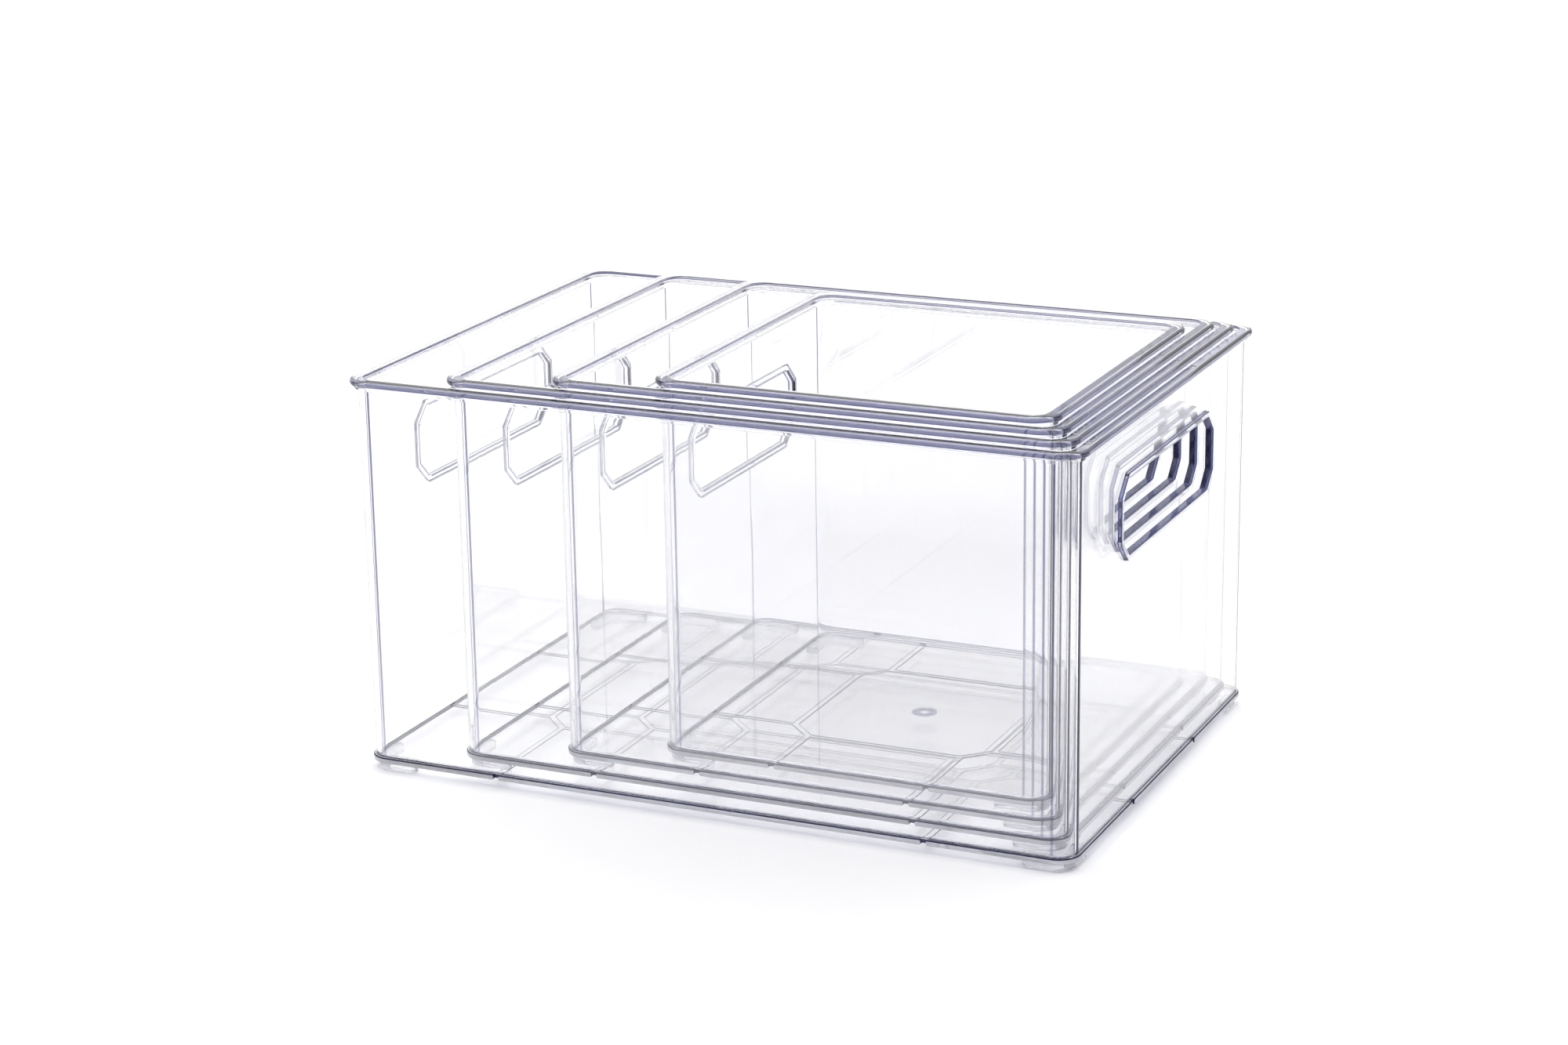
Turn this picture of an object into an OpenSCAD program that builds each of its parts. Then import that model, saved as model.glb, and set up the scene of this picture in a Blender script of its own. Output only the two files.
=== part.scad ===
// Nest of four clear storage bins for a fridge or pantry.
// Each bin is one thin-walled moulding with a rolled rim, a bead round its base, an
// octagonal hand hole with a raised collar in each end wall and a shallow groove pattern
// under its floor, and it stands on four L-shaped corner feet. The smaller bins stand
// inside the larger ones, each pushed into the front right corner of the one around it.
//
// Frame: X runs along the long front face, Y from front to back, Z up. The origin is the
// bottom centre of the large bin, on the surface that the nest stands on.

/* [Large bin] */
// Length over the rim, mm
large_length = 300; // [285:1:340]
// Depth over the rim, mm
large_depth = 212; // [205:1:260]
// Height from the feet to the rim, mm
large_height = 158.5; // [150:0.5:200]
// Length of the hand hole, mm
large_hole = 106; // [80:1:120]
// Length of the octagon under the floor, mm
large_panel_length = 199; // [120:1:220]
// Depth of the octagon under the floor, mm
large_panel_depth = 93; // [60:1:120]

/* [Medium bin] */
// Length over the rim, mm
medium_length = 255; // [235:1:270]
// Depth over the rim, mm
medium_depth = 199; // [192:1:200]
// Length of the hand hole, mm
medium_hole = 101; // [80:1:115]
// Length of the octagon under the floor, mm
medium_panel_length = 152; // [100:1:170]
// Depth of the octagon under the floor, mm
medium_panel_depth = 90; // [60:1:120]

/* [Small bin] */
// Length over the rim, mm
small_length = 207; // [190:1:222]
// Depth over the rim, mm
small_depth = 185; // [175:1:187]
// Length of the hand hole, mm
small_hole = 97; // [70:1:110]
// Length of the octagon under the floor, mm
small_panel_length = 106; // [70:1:130]
// Depth of the octagon under the floor, mm
small_panel_depth = 86; // [50:1:110]

/* [Mini bin] */
// Length over the rim, mm
mini_length = 161; // [120:1:177]
// Depth over the rim, mm
mini_depth = 159; // [120:1:163]
// Length of the hand hole, mm
mini_hole = 90; // [60:1:95]
// Length of the octagon under the floor, mm
mini_panel_length = 83; // [50:1:90]
// Depth of the octagon under the floor, mm
mini_panel_depth = 83; // [50:1:90]

/* [Nest] */
// How much lower each bin is than the one around it, mm
height_step = 2.7; // [1:0.1:5]
// Clearance between a rim and the wall of the bin around it, mm
nest_gap = 0.4; // [0.4:0.1:0.8]

/* [Walls and rim] */
// Wall thickness, mm
wall_t = 1.8; // [1.5:0.1:2]
// Radius of the upright corners, outside, mm
corner_r = 8; // [7:0.5:10]
// How far the rim's round nose stands out from the wall, mm
rim_out = 3.2; // [2.8:0.1:3.4]
// Height of the rim's round nose, mm
nose_h = 3; // [2.4:0.1:3.6]
// How far the step under the nose stands out, mm
step_out = 1.5; // [1:0.1:2]
// Height of the step under the nose, mm
step_h = 1.2; // [0.8:0.1:2]

/* [Base] */
// Thickness of the floor, mm
floor_t = 2; // [1.6:0.1:2.4]
// How far the base bead stands out from the wall, mm
bead_out = 1.1; // [0.6:0.1:1.4]
// Height of the base bead, mm
bead_h = 2.3; // [1.8:0.1:3]
// Width of the grooves under the floor, mm
groove_w = 2.4; // [1.6:0.1:3.2]
// Depth of the grooves under the floor, mm
groove_depth = 0.7; // [0.4:0.1:0.8]
// Corner cut of the octagon under the floor, mm
panel_cut = 10; // [6:0.5:14]

/* [Hand holes] */
// Height of the hand holes, mm
hole_h = 29; // [24:0.5:34]
// Corner cut of the hand holes, mm
hole_cut = 6.5; // [4:0.5:9]
// Distance from the rim's top down to the middle of a hand hole, mm
hole_drop = 38.5; // [32:0.5:45]
// Width of the raised collar round a hand hole, mm
collar_w = 2.3; // [1.5:0.1:3]
// How far the collar stands out from the wall, mm
collar_out = 1.5; // [1:0.1:2]

/* [Feet] */
// Height of the feet, mm
foot_h = 3.2; // [2.5:0.1:4]
// Width of the L-shaped strip, mm
foot_w = 5; // [4:0.1:6]
// Length of each leg from the wall's corner, mm
foot_leg = 20; // [14:0.5:26]
// How far the feet are set in from the wall's outside, mm
foot_inset = 0.6; // [0.4:0.1:1]

/* [Hidden] */
$fn = 48;

LARGE = 0;
MEDIUM = 1;
SMALL = 2;
MINI = 3;

// Which corner a foot is under: [side along X, side along Y]
FRONT_LEFT = [-1, -1];
FRONT_RIGHT = [1, -1];
BACK_LEFT = [-1, 1];
BACK_RIGHT = [1, 1];

shell_colour = [0.80, 0.83, 0.93, 0.35];
foot_colour = [0.90, 0.92, 0.96, 0.50];

nose_r = nose_h / 2;
floor_z = foot_h + floor_t;                      // top of a bin's floor
nest_inset = rim_out + wall_t + nest_gap;        // wall face to wall face of the next bin
cut_through = 20;                                // longer than anything it cuts through
eps = 0.01;

// Outside of the walls: the rim size less the nose on both sides
lengths = [for (v = [large_length, medium_length, small_length, mini_length]) v - 2 * rim_out];
depths = [for (v = [large_depth, medium_depth, small_depth, mini_depth]) v - 2 * rim_out];
holes = [large_hole, medium_hole, small_hole, mini_hole];
panel_lengths = [large_panel_length, medium_panel_length, small_panel_length, mini_panel_length];
panel_depths = [large_panel_depth, medium_panel_depth, small_panel_depth, mini_panel_depth];

// Each bin's height and the middle of its base, in the shared frame
function height(bin) = large_height - bin * height_step;
function centre(bin) = [
    lengths[LARGE] / 2 - bin * nest_inset - lengths[bin] / 2,
    -depths[LARGE] / 2 + bin * nest_inset + depths[bin] / 2,
    bin * floor_z
];

// Octagon with half sizes a and b and corner cut c
function octagon(a, b, c) = [
    [a, b - c], [a - c, b], [c - a, b], [-a, b - c],
    [-a, c - b], [c - a, -b], [a - c, -b], [a, c - b]
];
// Corner cut of an octagon after its outline has moved out by e
function moved_cut(c, e) = c + e * (2 - sqrt(2));

// Cross-section of a wall: x is outwards from the wall's outside, y is up
module wall_section(h) {
    // wall
    translate([-wall_t, foot_h]) square([wall_t, h - foot_h]);
    // rolled rim: a flat top that ends in a round nose
    translate([-wall_t, h - nose_h]) square([wall_t + rim_out - nose_r, nose_h]);
    translate([rim_out - nose_r, h - nose_r]) circle(nose_r);
    // step under the nose
    translate([-wall_t, h - nose_h - step_h]) square([wall_t + step_out, step_h + eps]);
    // base bead
    translate([-wall_t, foot_h]) square([wall_t + bead_out, bead_h]);
}

// Sweeps a cross-section round a rounded rectangle, l by d, centred on the origin
module sweep_round(l, d) {
    for (side = [0:3]) rotate([0, 0, 90 * side]) {
        reach = (side % 2 == 0 ? l : d) / 2;
        run = (side % 2 == 0 ? d : l) - 2 * corner_r;
        translate([reach, run / 2, 0]) rotate([90, 0, 0]) linear_extrude(run) children();
        translate([reach - corner_r, run / 2, 0])
            rotate_extrude(angle = 90) translate([corner_r, 0]) children();
    }
}

// Floor between the walls, with rounded corners
module floor_plate(l, d) {
    inner_r = corner_r - wall_t / 2;
    inner_l = l - wall_t;
    inner_d = d - wall_t;
    translate([0, 0, foot_h]) linear_extrude(floor_t) {
        square([inner_l - 2 * inner_r, inner_d], center = true);
        square([inner_l, inner_d - 2 * inner_r], center = true);
        for (x = [-1, 1], y = [-1, 1])
            translate([x * (inner_l / 2 - inner_r), y * (inner_d / 2 - inner_r)]) circle(inner_r);
    }
}

// Puts a flat outline, drawn with x along Y and y up, onto both end walls at height z
module on_end_walls(x, z, t) {
    for (side = [-1, 1]) translate([side > 0 ? x : -x - t, 0, z])
        rotate([90, 0, 90]) linear_extrude(t) children();
}

// Raised collars round the hand holes, on the outside of the end walls
module collars(l, z, hole_l) {
    on_end_walls(l / 2 - eps, z, collar_out + eps)
        polygon(octagon(hole_l / 2 + collar_w, hole_h / 2 + collar_w, moved_cut(hole_cut, collar_w)));
}

module hand_holes(l, z, hole_l) {
    on_end_walls(l / 2 - cut_through / 2, z, cut_through)
        polygon(octagon(hole_l / 2, hole_h / 2, hole_cut));
}

// Grooves under the floor: an octagon, and a straight groove from each of its corners
// square to the nearest edge, which also notches the base bead
module floor_grooves(l, d, panel_l, panel_d) {
    half = groove_w / 2;
    out_cut = moved_cut(panel_cut, half);
    in_cut = moved_cut(panel_cut, -half);
    across = panel_l / 2 - panel_cut;
    along = panel_d / 2 - panel_cut;
    translate([0, 0, foot_h - eps]) linear_extrude(groove_depth + eps) difference() {
        union() {
            polygon(octagon(panel_l / 2 + half, panel_d / 2 + half, out_cut));
            for (s = [-1, 1]) {
                translate([s * across, 0]) square([groove_w, 2 * d], center = true);
                translate([0, s * along]) square([2 * l, groove_w], center = true);
            }
        }
        polygon(octagon(panel_l / 2 - half, panel_d / 2 - half, in_cut));
    }
    for (s = [-1, 1], t = [-1, 1]) {
        notch([s * across, t * (d / 2 + cut_through / 2)], [groove_w, cut_through]);
        notch([s * (l / 2 + cut_through / 2), t * along], [cut_through, groove_w]);
    }
}

// Notch through the full height of the base bead
module notch(at, size) {
    translate([at[0], at[1], foot_h - eps])
        linear_extrude(bead_h + 2 * eps) square(size, center = true);
}

// One bin without its feet
module shell(bin) {
    l = lengths[bin];
    d = depths[bin];
    h = height(bin);
    color(shell_colour) translate(centre(bin)) difference() {
        union() {
            sweep_round(l, d) wall_section(h);
            floor_plate(l, d);
            collars(l, h - hole_drop, holes[bin]);
        }
        hand_holes(l, h - hole_drop, holes[bin]);
        floor_grooves(l, d, panel_lengths[bin], panel_depths[bin]);
    }
}

// L-shaped foot with round ends under one corner of a bin, following the wall's curve
module foot(bin, corner) {
    outer_r = corner_r - foot_inset;
    inner_r = outer_r - foot_w;
    mid_r = outer_r - foot_w / 2;
    run = foot_leg - corner_r - foot_w / 2;
    color(foot_colour) translate(centre(bin))
        mirror([corner[0] < 0 ? 1 : 0, 0, 0]) mirror([0, corner[1] < 0 ? 1 : 0, 0])
        translate([lengths[bin] / 2 - corner_r, depths[bin] / 2 - corner_r, 0]) {
            rotate_extrude(angle = 90) translate([inner_r, 0]) square([foot_w, foot_h]);
            translate([inner_r, -run, 0]) cube([foot_w, run, foot_h]);
            translate([-run, inner_r, 0]) cube([run, foot_w, foot_h]);
            translate([mid_r, -run, 0]) cylinder(h = foot_h, r = foot_w / 2);
            translate([-run, mid_r, 0]) cylinder(h = foot_h, r = foot_w / 2);
        }
}

shell(LARGE);  // large_bin_shell
foot(LARGE, FRONT_LEFT);  // large_bin_foot_front_left
foot(LARGE, FRONT_RIGHT);  // large_bin_foot_front_right
foot(LARGE, BACK_LEFT);  // large_bin_foot_back_left
foot(LARGE, BACK_RIGHT);  // large_bin_foot_back_right

shell(MEDIUM);  // medium_bin_shell
foot(MEDIUM, FRONT_LEFT);  // medium_bin_foot_front_left
foot(MEDIUM, FRONT_RIGHT);  // medium_bin_foot_front_right
foot(MEDIUM, BACK_LEFT);  // medium_bin_foot_back_left
foot(MEDIUM, BACK_RIGHT);  // medium_bin_foot_back_right

shell(SMALL);  // small_bin_shell
foot(SMALL, FRONT_LEFT);  // small_bin_foot_front_left
foot(SMALL, FRONT_RIGHT);  // small_bin_foot_front_right
foot(SMALL, BACK_LEFT);  // small_bin_foot_back_left
foot(SMALL, BACK_RIGHT);  // small_bin_foot_back_right

shell(MINI);  // mini_bin_shell
foot(MINI, FRONT_LEFT);  // mini_bin_foot_front_left
foot(MINI, FRONT_RIGHT);  // mini_bin_foot_front_right
foot(MINI, BACK_LEFT);  // mini_bin_foot_back_left
foot(MINI, BACK_RIGHT);  // mini_bin_foot_back_right
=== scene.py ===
import math

import bmesh
import bpy
from mathutils import Matrix, Vector


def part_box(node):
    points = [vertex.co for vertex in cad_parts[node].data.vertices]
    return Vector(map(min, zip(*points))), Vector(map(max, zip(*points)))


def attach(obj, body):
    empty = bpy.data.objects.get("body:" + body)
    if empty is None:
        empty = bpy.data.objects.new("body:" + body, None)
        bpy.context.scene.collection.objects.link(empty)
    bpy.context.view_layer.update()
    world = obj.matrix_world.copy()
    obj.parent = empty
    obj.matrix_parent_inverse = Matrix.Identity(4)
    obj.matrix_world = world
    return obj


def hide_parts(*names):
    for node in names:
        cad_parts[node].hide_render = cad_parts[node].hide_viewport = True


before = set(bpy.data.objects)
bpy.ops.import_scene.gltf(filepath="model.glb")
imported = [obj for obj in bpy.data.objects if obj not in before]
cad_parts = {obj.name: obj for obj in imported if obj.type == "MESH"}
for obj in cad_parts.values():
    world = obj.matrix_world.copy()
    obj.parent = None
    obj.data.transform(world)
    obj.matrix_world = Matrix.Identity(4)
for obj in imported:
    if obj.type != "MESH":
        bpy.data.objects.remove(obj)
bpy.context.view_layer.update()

scene = bpy.context.scene
MM = 0.001

# ------------------------------------------------- sizes shared with part.scad, mm
BINS = ("large", "medium", "small", "mini")
CORNERS = {"front_left": (-1, -1), "front_right": (1, -1), "back_left": (-1, 1), "back_right": (1, 1)}
WALL_T, CORNER_R = 1.8, 8.0
RIM_OUT, NOSE_H, STEP_OUT, STEP_H = 3.2, 3.0, 1.5, 1.2
FLOOR_T, BEAD_OUT, BEAD_H, FOOT_H = 2.0, 1.1, 2.3, 3.2
GROOVE_W, GROOVE_DEPTH, PANEL_CUT = 2.4, 0.7, 10.0
HOLE_H, HOLE_CUT, HOLE_DROP, COLLAR_W, COLLAR_OUT = 29.0, 6.5, 38.5, 2.3, 1.5
FOOT_W, FOOT_LEG, FOOT_INSET = 5.0, 20.0, 0.6
HOLE_L = {"large": 106, "medium": 101, "small": 97, "mini": 90}
PANEL = {"large": (199, 93), "medium": (152, 90), "small": (106, 86), "mini": (83, 83)}

# ------------------------------------------------- detail that only the looks have, mm
EDGE, EDGE_STEPS = 0.3, 3               # rounding of the moulding's edges
FILLET, FILLET_STEPS = 1.3, 5           # inside fillet between the floor and the walls
NOSE_STEPS = 8                          # facets round the rim's nose
CORNER_STEPS = 14                       # facets per upright corner
HOLE_ROUND, HOLE_ROUND_GAIN = 0.7, 0.35     # rounding of a hand hole, and its gain per mm of collar
COLLAR_EDGE = 0.35                      # rounding of a collar's outer edges
GATE_R, GATE_PIN_R, GATE_DEPTH = 5.0, 1.7, 0.35
GATE_STEPS, GATE_PIN_STEPS = 40, 24
GROOVE_EDGE, GROOVE_DRAFT = 0.35, 0.1   # slope at a groove's mouth, narrowing at its top
NOTCH_OVER = 0.02                       # how far a notch reaches over the bead
OVERCUT, OVERRUN = 1, 6                 # how far a cutter starts below the part and runs past it
FOOT_EDGE, FOOT_EDGE_STEPS = 0.5, 4     # rounding under a foot, half as much on top
FOOT_ARC_STEPS, FOOT_END_STEPS = 12, 10
FOOT_GAP = 0.02                         # keeps a foot's flat faces out of its neighbours' planes
MERGE_DIST = 1e-5
SHARP_ANGLE = 40                        # degrees, edges sharper than this aren't smoothed over

# ------------------------------------------------- camera
CAMERA_AT = (0.5502, -1.2318, 0.4922)   # metres
CAMERA_ANGLES = (24.54, 16.65, -0.877)  # azimuth, elevation, roll, degrees
LENS, SENSOR = 81.5, 36                 # mm

# ------------------------------------------------- light
BOUNCES = 64                            # light runs far along the plates
GLOSSY_BOUNCES = 48                     # total reflections inside the plastic count as glossy
CLEAR_BOUNCES = 40
DIM_BAND = (0.038, 0.035, 0.070, 1)     # the unlit part of the studio
SKY_CENTRE = (-0.20, 0.45, 0.87)        # towards the middle of the lit sky
SKY_EDGE = (0.48, 0.60)                 # cosines to that direction, over which the sky comes in
HORIZON_EDGE = (0.10, 0.17)             # heights over which the lit horizon goes out
SKY_LIFT, SKY_LEVEL = (0.42, 0.70), (1.05, 2.2)     # heights over which the sky gets brighter
GROUND_HALF, GROUND_DROP = 12, 0.0001   # metres; the drop keeps it out of the feet's plane
GROUND_GREY, GROUND_ROUGHNESS = 0.93, 0.8

# ------------------------------------------------- plastics
SHELL_IOR, FOOT_IOR = 1.54, 1.45
SHELL_INSIDE = ((0.85, 0.86, 0.93), 9)  # absorption inside: colour, density
FOOT_INSIDE = ((0.9, 0.9, 0.95), 9)
FLOW_DETAIL, SIDE_SHIFT = 2, 7          # detail of the flow marks, shift between two sides of a wall
RUB_SCALE, RUB_DETAIL, RUB_RANGE = 60, 6, (0.5, 0.75)
WHITE = (1, 1, 1)
# which look a face of a shell gets, in the order of SHELL_LOOKS; the second, third and fourth looks are
# painted shade
WALL, EDGE_SHADE, LINE_SHADE, DEEP_SHADE, BASE, SATIN = range(6)
# name, colour, share of clear, roughness from and to, flow, depth of the flow marks, reflections
SHELL_LOOKS = (
    ("clear_plastic", (0.984, 0.984, 0.987), 1, (0.0, 0.02), (120, 8), 0.000012, WHITE),
    # painted shade: a dark blue-violet tint on the rim's nose and in a line along each front corner
    ("clear_plastic_edge_shade", (0.45, 0.44, 0.57), 0.92, (0.0, 0.03), (160, 60), 0.00001, WHITE),
    # painted shade: near-black lines with blue-tinted reflections at the grooves, the notches, the
    # bead's shoulder and the right-hand upright corners
    ("clear_plastic_line_shade", (0.02, 0.02, 0.06), 0.5, (0.0, 0.05), (160, 60), 0.00001, (0.45, 0.45, 0.75)),
    # painted shade: dark blue with blue-tinted reflections in the hand holes, on the gate mark and
    # along the left-hand upright corners
    ("clear_plastic_deep_shade", (0.10, 0.11, 0.26), 0.8, (0.0, 0.03), (160, 60), 0.00001, (0.6, 0.6, 0.85)),
    ("clear_plastic_base", WHITE, 1, (0.0, 0.02), (120, 120), 0.000008, WHITE),
    ("clear_plastic_satin", (0.97, 0.97, 0.98), 0.5, (0.05, 0.2), (160, 60), 0.00001, WHITE),
)
FOOT_LOOK = ("clear_foot", (0.97, 0.97, 0.98), 0.8, (0.03, 0.15), (140, 140), 0.00002, WHITE)


# ================================================= camera
def aim_camera():
    azimuth, elevation, roll = (math.radians(v) for v in CAMERA_ANGLES)
    forward = Vector((-math.sin(azimuth) * math.cos(elevation),
                      math.cos(azimuth) * math.cos(elevation), -math.sin(elevation)))
    right = Vector((math.cos(azimuth), math.sin(azimuth), 0))
    up = right.cross(forward)
    right, up = (math.cos(roll) * right + math.sin(roll) * up,
                 -math.sin(roll) * right + math.cos(roll) * up)
    data = bpy.data.cameras.new("camera")
    data.sensor_width = SENSOR
    data.lens = LENS
    data.clip_start, data.clip_end = 0.05, 50
    camera = bpy.data.objects.new("camera", data)
    turn = Matrix((right, up, -forward)).transposed().to_4x4()
    camera.matrix_world = Matrix.Translation(CAMERA_AT) @ turn
    scene.collection.objects.link(camera)
    scene.camera = camera


# ================================================= nodes
def add_node(tree, kind, values=None, **settings):
    """New node with its settings, and with values for its input sockets."""
    node = tree.nodes.new(kind)
    for name, value in settings.items():
        setattr(node, name, value)
    for socket, value in (values or {}).items():
        node.inputs[socket].default_value = value
    return node


def map_range(tree, source, came_from, goes_to, kind="LINEAR"):
    node = add_node(tree, "ShaderNodeMapRange",
                    {"From Min": came_from[0], "From Max": came_from[1],
                     "To Min": goes_to[0], "To Max": goes_to[1]}, interpolation_type=kind)
    tree.links.new(source, node.inputs["Value"])
    return node.outputs[0]


# ================================================= light
def light_studio():
    """A soft white sky and horizon with a dim band between them, over a plain pale ground."""
    scene.view_settings.view_transform = "Standard"
    scene.view_settings.look = "None"
    scene.cycles.max_bounces = BOUNCES
    scene.cycles.transmission_bounces = BOUNCES
    scene.cycles.glossy_bounces = GLOSSY_BOUNCES
    scene.cycles.transparent_max_bounces = CLEAR_BOUNCES
    scene.cycles.blur_glossy = 0

    scene.world = bpy.data.worlds.new("studio")
    scene.world.use_nodes = True
    tree = scene.world.node_tree
    link = tree.links.new
    tree.nodes.clear()
    coord = add_node(tree, "ShaderNodeTexCoord")
    split = add_node(tree, "ShaderNodeSeparateXYZ")
    link(coord.outputs["Generated"], split.inputs[0])
    height = split.outputs["Z"]
    toward = add_node(tree, "ShaderNodeVectorMath", {1: Vector(SKY_CENTRE).normalized()},
                      operation="DOT_PRODUCT")
    link(coord.outputs["Generated"], toward.inputs[0])

    lit = add_node(tree, "ShaderNodeMath", operation="MAXIMUM")
    link(map_range(tree, toward.outputs["Value"], SKY_EDGE, (0, 1), "SMOOTHSTEP"), lit.inputs[0])
    link(map_range(tree, height, HORIZON_EDGE, (1, 0), "SMOOTHSTEP"), lit.inputs[1])
    white = add_node(tree, "ShaderNodeCombineColor")
    level = map_range(tree, height, SKY_LIFT, SKY_LEVEL, "SMOOTHSTEP")
    for socket in white.inputs:
        link(level, socket)
    mix = add_node(tree, "ShaderNodeMix", data_type="RGBA")
    mix.inputs["A"].default_value = DIM_BAND
    link(lit.outputs[0], mix.inputs["Factor"])
    link(white.outputs[0], mix.inputs["B"])
    background = add_node(tree, "ShaderNodeBackground", {"Strength": 1.0})
    link(mix.outputs["Result"], background.inputs["Color"])
    link(background.outputs[0], add_node(tree, "ShaderNodeOutputWorld").inputs[0])

    mesh = bpy.data.meshes.new("floor")
    s, z = GROUND_HALF, -GROUND_DROP
    mesh.from_pydata([(-s, -s, z), (s, -s, z), (s, s, z), (-s, s, z)], [], [(0, 1, 2, 3)])
    floor = bpy.data.objects.new("floor", mesh)
    scene.collection.objects.link(floor)
    mat = bpy.data.materials.new("floor")
    mat.use_nodes = True
    shader = mat.node_tree.nodes["Principled BSDF"]
    shader.inputs["Base Color"].default_value = (GROUND_GREY, GROUND_GREY, GROUND_GREY, 1)
    shader.inputs["Roughness"].default_value = GROUND_ROUGHNESS
    shader.inputs["Specular IOR Level"].default_value = 0.0
    mesh.materials.append(mat)


# ================================================= materials
def plastic(look, ior, inside):
    """Clear plastic. In look, the share of clear is the light that passes and the rest is haze,
    flow is how fast the flow marks change across and along the part, per metre, their depth is
    in metres, and the last colour tints the reflections."""
    name, colour, clear, roughness, flow, wave, shine = look
    mat = bpy.data.materials.new(name)
    mat.use_nodes = True
    tree = mat.node_tree
    link = tree.links.new
    shader = tree.nodes["Principled BSDF"]
    shader.inputs["Base Color"].default_value = (*colour, 1)
    shader.inputs["Transmission Weight"].default_value = clear
    shader.inputs["IOR"].default_value = ior
    shader.inputs["Specular Tint"].default_value = (*shine, 1)
    absorbed = add_node(tree, "ShaderNodeVolumeAbsorption",
                        {"Color": (*inside[0], 1), "Density": inside[1]})
    link(absorbed.outputs[0], tree.nodes["Material Output"].inputs["Volume"])

    # flow marks run up the walls; the two faces of a wall have marks of their own
    coord = add_node(tree, "ShaderNodeTexCoord")
    scale = add_node(tree, "ShaderNodeVectorMath", {1: (flow[0], flow[0], flow[1])},
                     operation="MULTIPLY")
    link(coord.outputs["Object"], scale.inputs[0])
    apart = add_node(tree, "ShaderNodeVectorMath", {1: (SIDE_SHIFT, SIDE_SHIFT, SIDE_SHIFT)},
                     operation="MULTIPLY_ADD")
    link(add_node(tree, "ShaderNodeNewGeometry").outputs["True Normal"], apart.inputs[0])
    link(scale.outputs[0], apart.inputs[2])
    marks = add_node(tree, "ShaderNodeTexNoise", {"Scale": 1, "Detail": FLOW_DETAIL})
    link(apart.outputs[0], marks.inputs["Vector"])
    bump = add_node(tree, "ShaderNodeBump", {"Strength": 1, "Distance": wave})
    link(marks.outputs[0], bump.inputs["Height"])
    link(bump.outputs[0], shader.inputs["Normal"])

    # faint rub marks
    rub = add_node(tree, "ShaderNodeTexNoise", {"Scale": RUB_SCALE, "Detail": RUB_DETAIL})
    link(coord.outputs["Object"], rub.inputs["Vector"])
    link(map_range(tree, rub.outputs[0], RUB_RANGE, roughness), shader.inputs["Roughness"])
    return mat


# ================================================= mesh building
def rounded(points):
    """Rounds a closed outline of (x, y, radius) points. Returns plain (x, y) points."""
    out = []
    for i, (x, y, r) in enumerate(points):
        if r <= 0:
            out.append((x, y))
            continue
        here = Vector((x, y))
        a = (Vector(points[i - 1][:2]) - here).normalized()
        b = (Vector(points[(i + 1) % len(points)][:2]) - here).normalized()
        half = a.angle(b) / 2
        reach = r / math.tan(half)
        middle = here + (a + b).normalized() * (r / math.sin(half))
        u, v = here + a * reach - middle, here + b * reach - middle
        turn = u.angle(v)
        for k in range(EDGE_STEPS + 1):
            t = k / EDGE_STEPS
            p = (math.sin((1 - t) * turn) * u + math.sin(t * turn) * v) / math.sin(turn)
            out.append(tuple(middle + p))
    return out


def octagon_ring(a, b, cut, e, radius):
    """Outline of an octagon a by b (half lengths), moved out by e, each corner rounded."""
    cut = cut + e * (2 - math.sqrt(2))
    a, b = a + e, b + e
    pts = [(a, b - cut), (a - cut, b), (cut - a, b), (-a, b - cut),
           (-a, cut - b), (cut - a, -b), (a - cut, -b), (a, cut - b)]
    return rounded([(*p, radius) for p in pts])


def circle(r, n):
    return [(r * math.cos(2 * math.pi * k / n), r * math.sin(2 * math.pi * k / n)) for k in range(n)]


def bridge(bm, low, high):
    """Faces between two closed rings of as many vertices."""
    for i in range(len(low)):
        k = (i + 1) % len(low)
        bm.faces.new((low[i], low[k], high[k], high[i]))


def loft(bm, levels):
    """Solid through flat outlines with holes: levels is (height, (outline, hole, ...))."""
    rings = [[[bm.verts.new((x, y, z)) for x, y in loop] for loop in loops] for z, loops in levels]
    for low, high in zip(rings, rings[1:]):
        for a, b in zip(low, high):
            bridge(bm, a, b)
    for level in (rings[0], rings[-1]):
        edges = [bm.edges.get((loop[i], loop[(i + 1) % len(loop)]))
                 for loop in level for i in range(len(loop))]
        bmesh.ops.triangle_fill(bm, edges=edges, use_beauty=True, use_dissolve=False)


def new_object(bm, name):
    """Object from a closed mesh, whose faces are turned outwards first."""
    bmesh.ops.recalc_face_normals(bm, faces=bm.faces)
    if bm.calc_volume(signed=True) < 0:
        bmesh.ops.reverse_faces(bm, faces=bm.faces)
    mesh = bpy.data.meshes.new(name)
    bm.to_mesh(mesh)
    bm.free()
    obj = bpy.data.objects.new(name, mesh)
    scene.collection.objects.link(obj)
    return obj


def smooth(obj):
    for face in obj.data.polygons:
        face.use_smooth = True
    obj.data.set_sharp_from_angle(angle=math.radians(SHARP_ANGLE))
    normals = obj.modifiers.new("normals", "WEIGHTED_NORMAL")
    normals.weight = 100
    normals.keep_sharp = True


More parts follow.
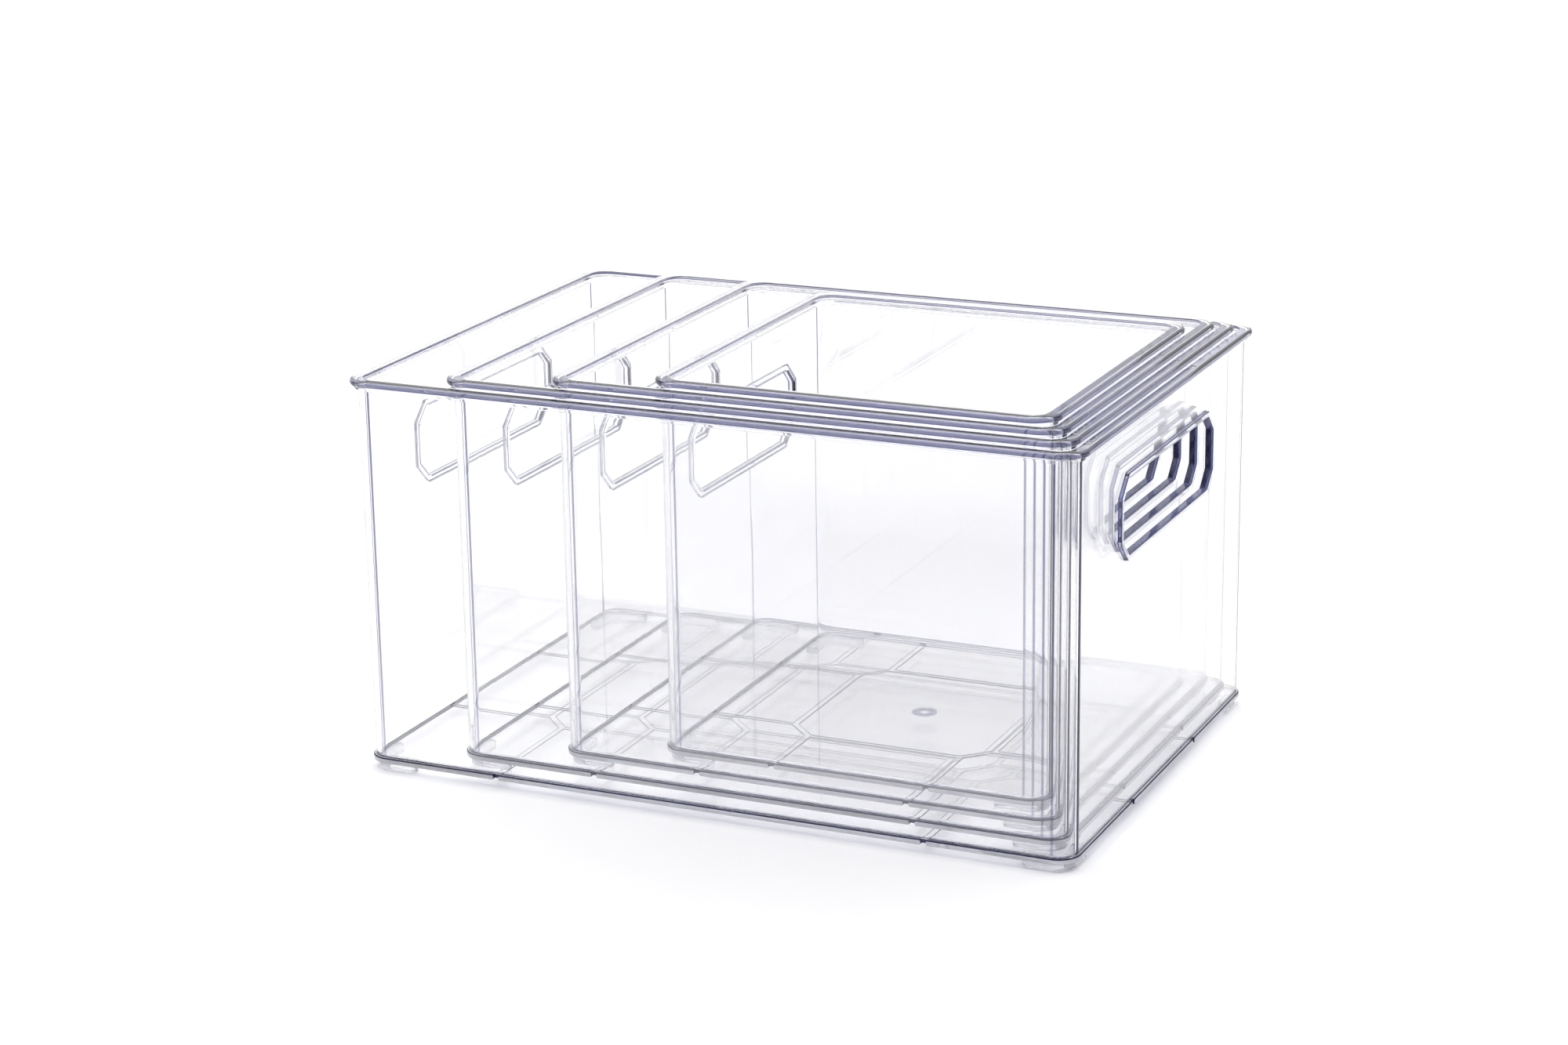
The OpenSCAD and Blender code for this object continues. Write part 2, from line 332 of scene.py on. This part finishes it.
# ================================================= shells
def wall_outline(h):
    """Section of a wall, from the fillet on the floor up the inside, over the rim, and down the
    outside to the underside: (outwards from the wall's outside face, height)."""
    nose = NOSE_H / 2
    nose_at = RIM_OUT - nose
    step_z, bead_z = h - NOSE_H - STEP_H, FOOT_H + BEAD_H
    pts = [(-WALL_T - FILLET, FOOT_H + FLOOR_T)]
    for k in range(1, FILLET_STEPS + 1):
        a = math.pi / 2 * k / FILLET_STEPS
        pts.append((-WALL_T - FILLET + FILLET * math.sin(a),
                    FOOT_H + FLOOR_T + FILLET * (1 - math.cos(a))))
    pts += rounded([(-WALL_T, h - NOSE_H, 0), (-WALL_T, h, EDGE), (nose_at, h, 0)])[1:]
    for k in range(1, NOSE_STEPS + 1):
        a = math.pi / 2 - math.pi * k / NOSE_STEPS
        pts.append((nose_at + nose * math.cos(a), h - nose + nose * math.sin(a)))
    # the third number of a point is its rounding
    pts += rounded([(nose_at, h - NOSE_H, 0), (STEP_OUT, h - NOSE_H, 0.12),
                    (STEP_OUT, step_z, 0.35), (0, step_z, 0.5), (0, bead_z, 0.3),
                    (BEAD_OUT, bead_z, 0.5), (BEAD_OUT, FOOT_H, 0.4), (-WALL_T, FOOT_H, 0)])[1:-1]
    return pts


def stations(l, d):
    """Points round a rounded rectangle: corner centre x and y, outward direction x and y."""
    out = []
    for q, (sx, sy) in enumerate(((1, 1), (-1, 1), (-1, -1), (1, -1))):
        for k in range(CORNER_STEPS + 1):
            a = math.pi / 2 * (q + k / CORNER_STEPS)
            out.append((sx * (l / 2 - CORNER_R), sy * (d / 2 - CORNER_R), math.cos(a), math.sin(a)))
    return out


def add_hand_hole(bm, side, l, hz, half_l, half_h, panels):
    """A collar through an end wall, joined to the wall's two faces. panels has, for each of the
    two, whether it is the outside one and the four vertices of the face left out there."""
    collar = rounded([(COLLAR_W + 0.5, 0, 0), (COLLAR_W, 0, EDGE),
                      (COLLAR_W, COLLAR_OUT, COLLAR_EDGE), (0, COLLAR_OUT, COLLAR_EDGE),
                      (0, -WALL_T, EDGE), (0.6, -WALL_T, 0)])[1:-1]
    rings = []
    for e, o in collar:
        pts = octagon_ring(half_l, half_h, HOLE_CUT, e, HOLE_ROUND + HOLE_ROUND_GAIN * max(e, 0))
        rings.append([bm.verts.new((side * (l / 2 + o), side * y, hz + z)) for y, z in pts])
    for a, b in zip(rings, rings[1:]):
        bridge(bm, a, b)
    count = len(rings[0])
    quarter = count // 4
    for outside, corners in panels:
        loop = rings[0] if outside else rings[-1]
        # the panel's corners in the order of the octagon's quarters: (+,+) (-,+) (-,-) (+,-)
        quad = [max(corners, key=lambda v: side * v.co.y * sy + v.co.z * sz * 0.999)
                for sy, sz in ((1, 1), (-1, 1), (-1, -1), (1, -1))]
        for q in range(4):
            mine = [loop[(q * quarter + t) % count] for t in range(quarter)]
            for u, v in zip(mine, mine[1:]):
                bm.faces.new((quad[q], v, u))
            bm.faces.new((quad[q], quad[(q + 1) % 4], loop[((q + 1) * quarter) % count], mine[-1]))


def cut_grooves(obj, name, l, d):
    """Cuts the pattern of grooves into the underside, and the bead's notches at their ends."""
    a, b = (v / 2 for v in PANEL[name])
    across, along = a - PANEL_CUT, b - PANEL_CUT
    far_x, far_y = l / 2 + OVERRUN, d / 2 + OVERRUN
    half = GROOVE_W / 2
    start = FOOT_H - OVERCUT

    def groove_loops(half):
        slant = half * (2 - math.sqrt(2))
        quarter = [(a + half, along - half), (far_x, along - half), (far_x, along + half),
                   (a + half - slant, along + half), (across + half, b + half - slant),
                   (across + half, far_y), (across - half, far_y), (across - half, b + half)]
        outline = []
        for sx, sy in ((1, 1), (-1, 1), (-1, -1), (1, -1)):
            part = [(sx * x, sy * y) for x, y in quarter]
            outline += part if sx * sy > 0 else part[::-1]
        return outline, octagon_ring(a, b, PANEL_CUT, -half, 0)

    grooves, notches = bmesh.new(), bmesh.new()
    loft(grooves, [(start, groove_loops(half + GROOVE_EDGE + OVERCUT)),
                   (FOOT_H + GROOVE_EDGE, groove_loops(half)),
                   (FOOT_H + GROOVE_DEPTH, groove_loops(half - GROOVE_DRAFT))])
    if name == "mini":
        ring = (circle(GATE_R, GATE_STEPS), circle(GATE_PIN_R, GATE_PIN_STEPS))
        loft(grooves, [(start, ring), (FOOT_H + GATE_DEPTH, ring)])
    for s in (-1, 1):
        for t in (-1, 1):
            for x0, x1, y0, y1 in ((s * across - half, s * across + half, t * d / 2, t * far_y),
                                   (s * l / 2, s * far_x, t * along - half, t * along + half)):
                block = ([(x0, y0), (x1, y0), (x1, y1), (x0, y1)],)
                loft(notches, [(start, block), (FOOT_H + BEAD_H + NOTCH_OVER, block)])

    for label, bm in (("grooves", grooves), ("notches", notches)):
        cutter = new_object(bm, f"{name}_{label}_cutter")
        cut = obj.modifiers.new(label, "BOOLEAN")
        cut.operation, cut.solver, cut.object = "DIFFERENCE", "EXACT", cutter
        with bpy.context.temp_override(object=obj, active_object=obj, selected_objects=[obj]):
            bpy.ops.object.modifier_apply(modifier=label)
        bpy.data.objects.remove(cutter)


def look_of(c, n, h, l, d, hz, half_l, half_h):
    """Look of a shell's face with centre c and normal n, in the shell's own place and in mm. Most of
    the looks it picks are painted shade, by place and by side.
    """
    corner = Vector((max(abs(c.x) - l / 2 + CORNER_R, 0), max(abs(c.y) - d / 2 + CORNER_R, 0)))
    in_corner = min(corner) > 0
    if in_corner:
        past = corner.length - CORNER_R                         # outwards from the wall
        out = corner.normalized()
    else:
        past = max(abs(c.x) - l / 2, abs(c.y) - d / 2)
        out = Vector((1, 0)) if abs(c.x) - l / 2 > abs(c.y) - d / 2 else Vector((0, 1))
    facing = abs(n.x) * out.x + abs(n.y) * out.y
    upright = abs(n.z) < 0.5
    bead_top = FOOT_H + BEAD_H

    if c.z < FOOT_H + GROOVE_DEPTH + 0.05 and abs(n.z) < 0.8 and past < -WALL_T * 0.2:
        return LINE_SHADE                                              # sides of the grooves: painted shade lines
    if FOOT_H + 0.1 < c.z < FOOT_H + GROOVE_DEPTH and n.z < -0.9 and math.hypot(c.x, c.y) < GATE_R:
        return DEEP_SHADE                                             # gate mark: painted shade in its recess
    if FOOT_H < c.z < bead_top + 0.05 and abs(past) < 0.05 and upright:
        return LINE_SHADE                                              # back of a notch: painted shade
    if c.z < bead_top and past > 0.05:
        if upright and facing < 0.3:
            return LINE_SHADE                                          # ends of the notches: painted shade
        if c.z > bead_top - 0.6 and n.z > 0.15:
            return LINE_SHADE                                          # shoulder of the bead: painted shade line
        if upright and past > BEAD_OUT - 0.1:
            return SATIN                                        # front of the bead
        return WALL
    if c.z > h - NOSE_H * 0.62 and past > RIM_OUT - NOSE_H / 2 + 0.5:
        return EDGE_SHADE                                             # nose of the rim: painted shade
    if (abs(c.x) > l / 2 - WALL_T * 1.2 and abs(n.x) < 0.97
            and abs(c.y) < half_l + COLLAR_W + 0.5 and abs(c.z - hz) < half_h + COLLAR_W + 0.5):
        rounding, inside = abs(n.x) > 0.2, 0 < c.x < l / 2 + 0.1
        return DEEP_SHADE if rounding or inside else WALL             # hand holes: painted shade on their roundings and all through the right one, which is darker as light falls there
    # upright corners: painted shade lines, wider and darker by the right end wall than by the left, and
    # one by the front wall
    if in_corner and abs(past) < 0.1 and abs(n.z) < 0.1:
        turn = math.degrees(math.atan2(corner.y, corner.x))     # 0 at the end wall
        if turn < (13 if c.x > 0 else 6.5):
            return LINE_SHADE if c.x > 0 else DEEP_SHADE
        return EDGE_SHADE if turn > 83.5 and c.y < 0 else WALL
    if c.z < FOOT_H + FLOOR_T + 0.1 and abs(n.z) > 0.9 and past < -WALL_T:
        return BASE                                             # plate of the floor
    return WALL


def build_shell(name):
    node = f"{name}_bin_shell"
    low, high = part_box(node)
    cx, cy = (low.x + high.x) / 2 / MM, (low.y + high.y) / 2 / MM
    z0 = low.z / MM - FOOT_H
    h = high.z / MM - z0
    l, d = (high.x - low.x) / MM - 2 * RIM_OUT, (high.y - low.y) / MM - 2 * RIM_OUT
    hole = (h - HOLE_DROP, HOLE_L[name] / 2, HOLE_H / 2)        # height, half length, half height

    bm = bmesh.new()
    outline = wall_outline(h)
    ring = stations(l, d)
    grid = [[bm.verts.new((x + (CORNER_R + o) * c, y + (CORNER_R + o) * s, z))
             for o, z in outline] for x, y, c, s in ring]
    # spans of the outline that a hand hole goes through: the wall's inside and its outside
    hole_spans = {j for j, ((o0, z_a), (o1, z_b)) in enumerate(zip(outline, outline[1:]))
                  if abs(o0 - o1) < 1e-6 and min(z_a, z_b) < hole[0] < max(z_a, z_b)}
    end_walls = {4 * (CORNER_STEPS + 1) - 1: 1, 2 * (CORNER_STEPS + 1) - 1: -1}
    for i, column in enumerate(grid):
        other = grid[(i + 1) % len(grid)]
        for j in range(len(outline) - 1):
            if i in end_walls and j in hole_spans:
                continue
            bm.faces.new((column[j], other[j], other[j + 1], column[j + 1]))
    bm.faces.new([column[0] for column in grid])                # floor, top
    bm.faces.new([column[-1] for column in grid][::-1])         # underside
    for i, side in end_walls.items():
        column, other = grid[i], grid[(i + 1) % len(grid)]
        panels = [(outline[j][0] > -WALL_T / 2, (column[j], other[j], other[j + 1], column[j + 1]))
                  for j in hole_spans]
        add_hand_hole(bm, side, l, *hole, panels)
    obj = new_object(bm, f"{name}_bin_clear_shell")

    cut_grooves(obj, name, l, d)
    mesh = obj.data
    for face in mesh.polygons:
        face.material_index = look_of(face.center, face.normal, h, l, d, *hole)
    mesh.transform(Matrix.Translation((cx * MM, cy * MM, z0 * MM)) @ Matrix.Scale(MM, 4))
    smooth(obj)
    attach(obj, f"{name}_bin")
    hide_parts(node)
    return obj


# ================================================= feet
def foot_outline(w, mid_r, run):
    """Outline of an L-shaped strip of half width w, bent round a corner's centre."""
    def arc(x, y, r, start, end, steps):
        for k in range(steps + 1):
            t = start + (end - start) * k / steps
            yield x + r * math.cos(t), y + r * math.sin(t)

    quarter, half = math.pi / 2, math.pi
    return [*arc(0, 0, mid_r + w, 0, quarter, FOOT_ARC_STEPS),              # outside, from +X to +Y
            *arc(-run, mid_r, w, quarter, quarter + half, FOOT_END_STEPS),  # round end at -X
            *arc(0, 0, mid_r - w, quarter, 0, FOOT_ARC_STEPS),              # inside, and back
            *arc(mid_r, -run, w, half, 2 * half, FOOT_END_STEPS)]           # round end at -Y


def build_foot(name, corner):
    node = f"{name}_bin_foot_{corner}"
    sx, sy = CORNERS[corner]
    low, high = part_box(node)
    outer_r = CORNER_R - FOOT_INSET
    mid_r = outer_r - FOOT_W / 2
    run = FOOT_LEG - CORNER_R - FOOT_W / 2
    top = FOOT_H - FOOT_GAP
    bottom = 0 if name == "large" else FOOT_GAP        # clear of the floor that it stands on
    turns = [math.pi / 2 * k / FOOT_EDGE_STEPS for k in range(FOOT_EDGE_STEPS + 1)]
    profile = [(FOOT_EDGE * (1 - math.sin(t)), bottom + FOOT_EDGE * (1 - math.cos(t))) for t in turns]
    profile += [(FOOT_EDGE / 2 * (1 - math.cos(t)), top - FOOT_EDGE / 2 * (1 - math.sin(t)))
                for t in turns]

    bm = bmesh.new()
    rings = [[bm.verts.new((x, y, z)) for x, y in foot_outline(FOOT_W / 2 - inset, mid_r, run)]
             for inset, z in profile]
    for a, b in zip(rings, rings[1:]):
        bridge(bm, a, b)
    bm.faces.new(rings[0][::-1])
    bm.faces.new(rings[-1])
    bmesh.ops.remove_doubles(bm, verts=bm.verts, dist=MERGE_DIST)
    # place it under its corner
    ox = (high.x if sx > 0 else low.x) / MM - sx * outer_r
    oy = (high.y if sy > 0 else low.y) / MM - sy * outer_r
    for v in bm.verts:
        v.co = Vector(((ox + sx * v.co.x) * MM, (oy + sy * v.co.y) * MM, low.z + v.co.z * MM))
    obj = new_object(bm, f"{name}_bin_clear_foot_{corner}")
    smooth(obj)
    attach(obj, f"{name}_bin")
    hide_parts(node)
    return obj


aim_camera()
light_studio()
shell_materials = [plastic(look, SHELL_IOR, SHELL_INSIDE) for look in SHELL_LOOKS]
foot_material = plastic(FOOT_LOOK, FOOT_IOR, FOOT_INSIDE)
for name in BINS:
    shell = build_shell(name)
    for material in shell_materials:
        shell.data.materials.append(material)
    for corner in CORNERS:
        build_foot(name, corner).data.materials.append(foot_material)
